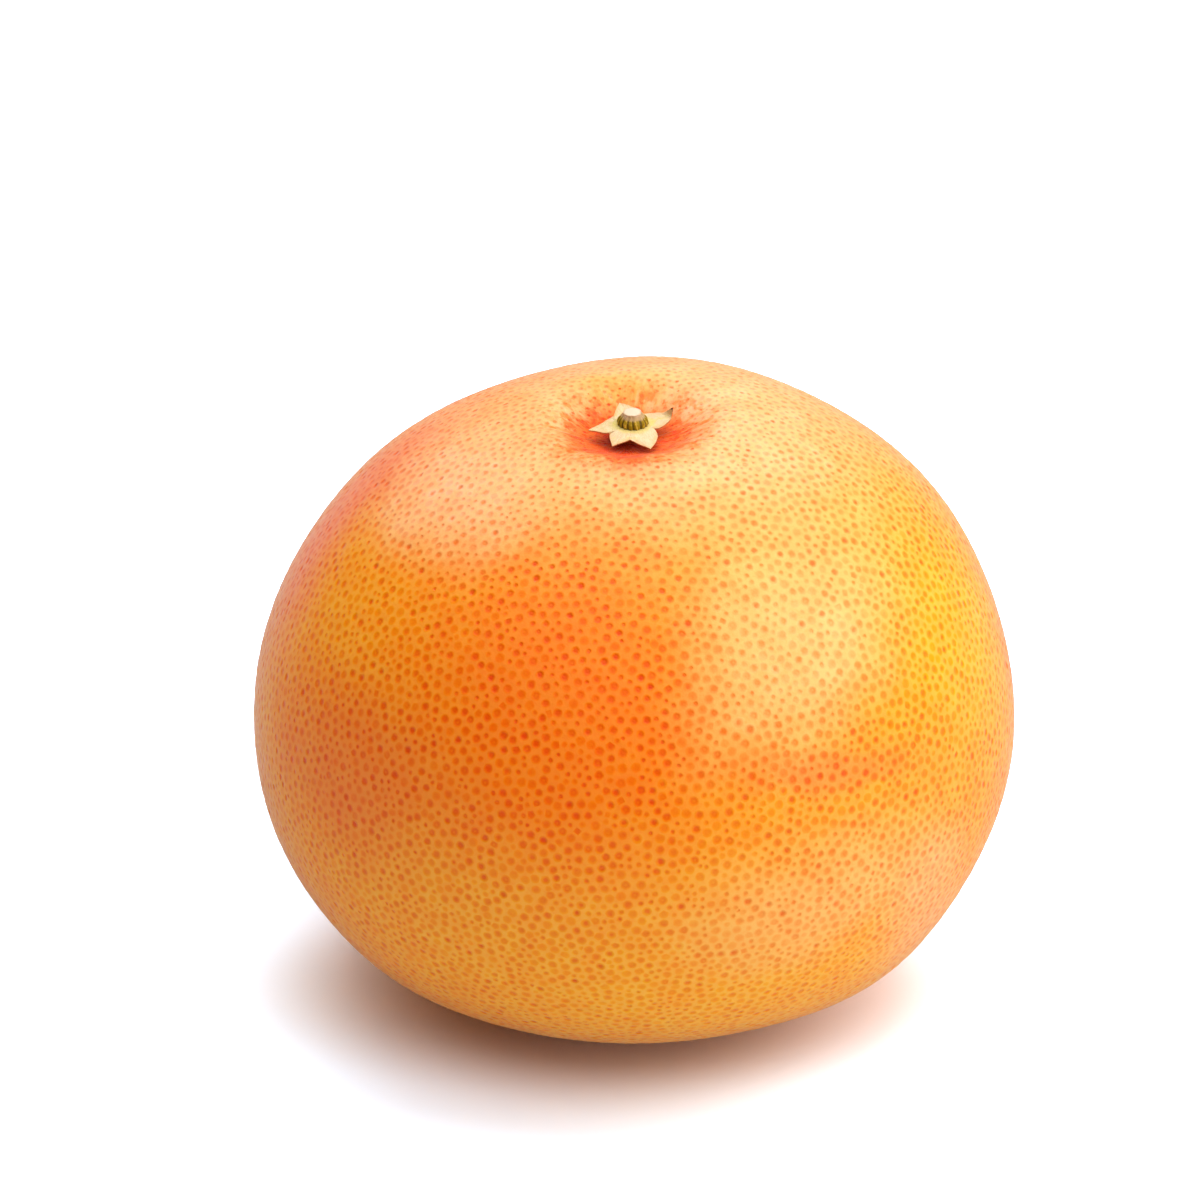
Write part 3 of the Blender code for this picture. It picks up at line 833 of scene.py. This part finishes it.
STEM_OLIVE = (0.310, 0.195, 0.003, 1.0)
STEM_FURROW = (0.100, 0.062, 0.004, 1.0)
STEM_RIDGE = (0.70, 0.46, 0.06, 1.0)
STEM_TAN = (0.52, 0.34, 0.17, 1.0)
CUT_RIM = (0.62, 0.45, 0.28, 1.0)
CUT_FACE = (0.70, 0.56, 0.40, 1.0)
BASE_SHADE = (0.30, 0.25, 0.25, 1.0)
FIBRES_PER_METRE = 3800.0
FIBRE_STRETCH = (1.0, 1.0, 0.22)
STEM_CLOUDS_PER_METRE = 1100.0


def make_stem_material():
    material, tree, shader = new_material("dry_stem")
    place = node(tree, "ShaderNodeTexCoord").outputs["Object"]
    rib, side, face = node(tree, "ShaderNodeSeparateXYZ", {0: attribute(tree, "stub_look")}).outputs
    stretched = combine(tree, "MULTIPLY", place, FIBRE_STRETCH)
    fibres = noise(tree, stretched, FIBRES_PER_METRE, 3.0, 0.6)
    cloud = noise(tree, place, STEM_CLOUDS_PER_METRE)
    colour = blend_colours(tree, fade(tree, rib, 0.45, 0.0), STEM_OLIVE, STEM_FURROW)
    streak = calculate(tree, "MULTIPLY", fade(tree, fibres, 0.50, 0.62), fade(tree, rib, 0.35, 0.95))
    colour = blend_colours(tree, streak, colour, STEM_RIDGE)
    height = calculate(tree, "MULTIPLY_ADD", calculate(tree, "SUBTRACT", cloud, 0.5), 0.5, side)
    colour = blend_colours(tree, fade(tree, height, 0.58, 0.84, 0.0, 0.85), colour, STEM_TAN)
    colour = blend_colours(tree, fade(tree, height, 0.84, 1.02), colour, CUT_RIM)
    colour = tinted(tree, fade(tree, side, 0.12, 0.0), colour, BASE_SHADE)
    pale = fade(tree, calculate(tree, "MULTIPLY_ADD", fibres, 0.3, face), 0.17, 0.38)
    colour = blend_colours(tree, pale, colour, CUT_FACE)
    tree.links.new(colour, shader.inputs["Base Color"])
    bump = node(tree, "ShaderNodeBump", {"Height": fibres, "Strength": 0.9, "Distance": STEM_BUMP})
    tree.links.new(bump.outputs["Normal"], shader.inputs["Normal"])
    tree.links.new(fade(tree, cloud, 0.3, 0.7, 0.45, 0.65), shader.inputs["Roughness"])
    shader.inputs["Specular IOR Level"].default_value = 0.15
    return material


stub_mesh = make_stub_mesh(hollow_floor + STAR_TOP_ABOVE_FLOOR - STUB_SINK)
new_piece("stem_end", stub_mesh, make_stem_material(), "stem_stub")


# The studio: a white floor that runs on as far as the camera sees, and soft boxes over the fruit.
# The camera sees the floor as bright paper with a painted shadow round the fruit, an oval where it is darker
# and warmer. The fruit gets less of the floor's light, and mirrors it less.
FLOOR_SIZE = 8.0
FLOOR_IN_PEEL = 0.35
FLOOR_FOR_LIGHT = 0.84
FLOOR_PAINTED_SHADOW = (0.98, 0.98, 0.96, 1.0)
FLOOR_AROUND = (1.32, 1.62, 1.90, 1.0)
PAINTED_SHADOW_MIDDLE = (-3.0 * MM, -8.0 * MM, 0.0)
PAINTED_SHADOW_HALF_LENGTH = 56.0 * MM
PAINTED_SHADOW_HALF_WIDTH = 24.0 * MM
MIDDLE = Vector((0, 0, LOWER_HEIGHT - FLAT_SPOT_CUT))

floor_mesh = bpy.data.meshes.new("floor")
floor_shape = bmesh.new()
bmesh.ops.create_grid(floor_shape, x_segments=1, y_segments=1, size=FLOOR_SIZE / 2)
floor_shape.to_mesh(floor_mesh)
floor_shape.free()
floor = bpy.data.objects.new("floor", floor_mesh)
bpy.context.scene.collection.objects.link(floor)
floor_material, floor_tree, unused_shader = new_material("white_floor")
floor_tree.nodes.remove(unused_shader)
seen_by = node(floor_tree, "ShaderNodeLightPath").outputs
shade = calculate(
    floor_tree, "MULTIPLY_ADD", seen_by["Is Diffuse Ray"], FLOOR_FOR_LIGHT - FLOOR_IN_PEEL, FLOOR_IN_PEEL
)
floor_place = node(floor_tree, "ShaderNodeTexCoord").outputs["Object"]
from_middle = combine(floor_tree, "SUBTRACT", floor_place, PAINTED_SHADOW_MIDDLE)
oval = (1 / PAINTED_SHADOW_HALF_LENGTH, 1 / PAINTED_SHADOW_HALF_WIDTH, 0.0)
from_middle = combine(floor_tree, "MULTIPLY", from_middle, oval)
away = fade(floor_tree, combine(floor_tree, "LENGTH", from_middle, output="Value"), 0.55, 1.25)
# Painted shadow: the paper is darker and warmer in an oval round the fruit
paper_with_painted_shadow = blend_colours(floor_tree, away, FLOOR_PAINTED_SHADOW, FLOOR_AROUND)
shade = blend_colours(floor_tree, seen_by["Is Camera Ray"], shade, paper_with_painted_shadow)
paint = node(floor_tree, "ShaderNodeBsdfDiffuse", {"Color": shade}).outputs[0]
floor_tree.links.new(paint, floor_tree.nodes["Material Output"].inputs["Surface"])
floor_mesh.materials.append(floor_material)

# Soft boxes: azimuth and elevation in degrees, distance, width, height, radiance, and if it is mirrored
SOFT_BOXES = (
    ("over_the_fruit", 80, 80, 0.9, 0.9, 0.9, 1.4, True),
    ("behind", 90, 52, 1.1, 1.3, 0.5, 1.8, True),
    ("at_the_right", 0, 42, 0.9, 0.8, 0.8, 2.2, True),
    ("low_at_the_right", -35, 10, 1.1, 0.5, 0.5, 2.2, True),
    ("over_the_camera", -95, 55, 1.3, 0.9, 0.6, 1.8, False),
)
for title, azimuth, elevation, distance, width, height, radiance, shines in SOFT_BOXES:
    lamp = bpy.data.lights.new(title, "AREA")
    lamp.shape = "RECTANGLE"
    lamp.size, lamp.size_y = width, height
    lamp.energy = radiance * math.pi * width * height
    soft_box = bpy.data.objects.new(title, lamp)
    outward = Vector(toward(azimuth, elevation))
    soft_box.location = MIDDLE + outward * distance
    soft_box.rotation_euler = outward.to_track_quat("Z", "Y").to_euler()
    soft_box.visible_glossy = shines
    bpy.context.scene.collection.objects.link(soft_box)

# The room's own light comes mostly from above, and is darker where the peel mirrors it
LIGHT_FROM = toward(30, 76)
LIGHT_AT_HORIZON = 0.05
LIGHT_OVERHEAD = 0.92
DIM_BELOW = math.sin(math.radians(18))
FULL_LIGHT_ABOVE = math.sin(math.radians(56))
MIRRORED_SHARE = 0.3

world = bpy.data.worlds.new("studio")
world.use_nodes = True
room = world.node_tree
heading = node(room, "ShaderNodeTexCoord").outputs["Generated"]
upward = combine(room, "DOT_PRODUCT", heading, LIGHT_FROM, output="Value")
brightness = fade(room, upward, DIM_BELOW, FULL_LIGHT_ABOVE, LIGHT_AT_HORIZON, LIGHT_OVERHEAD)
seen_by = node(room, "ShaderNodeLightPath").outputs
mirrored = calculate(room, "MULTIPLY_ADD", seen_by["Is Glossy Ray"], MIRRORED_SHARE - 1, 1.0)
brightness = calculate(room, "MULTIPLY", brightness, mirrored)
brightness = calculate(room, "MAXIMUM", brightness, seen_by["Is Camera Ray"])
room.nodes["Background"].inputs["Color"].default_value = (1, 1, 1, 1)
room.links.new(brightness, room.nodes["Background"].inputs["Strength"])
bpy.context.scene.world = world
bpy.context.scene.view_settings.view_transform = "Standard"

# The camera: far off with a long lens, looking down a little on the fruit.
CAMERA_DISTANCE = 0.88
CAMERA_ELEVATION = 30.6
LENS = 182.2
SIDE_AIM = -4.7 * MM
UPWARD_AIM = 16.7 * MM

camera = bpy.data.objects.new("camera", bpy.data.cameras.new("camera"))
camera.data.lens = LENS
camera.data.sensor_width = 36.0
outward = Vector(toward(-90, CAMERA_ELEVATION))
camera.location = MIDDLE + outward * CAMERA_DISTANCE
upward = Vector(toward(90, 90 - CAMERA_ELEVATION))
aim = MIDDLE + Vector((SIDE_AIM, 0, 0)) + upward * UPWARD_AIM
camera.rotation_euler = (camera.location - aim).to_track_quat("Z", "Y").to_euler()
bpy.context.scene.collection.objects.link(camera)
bpy.context.scene.camera = camera
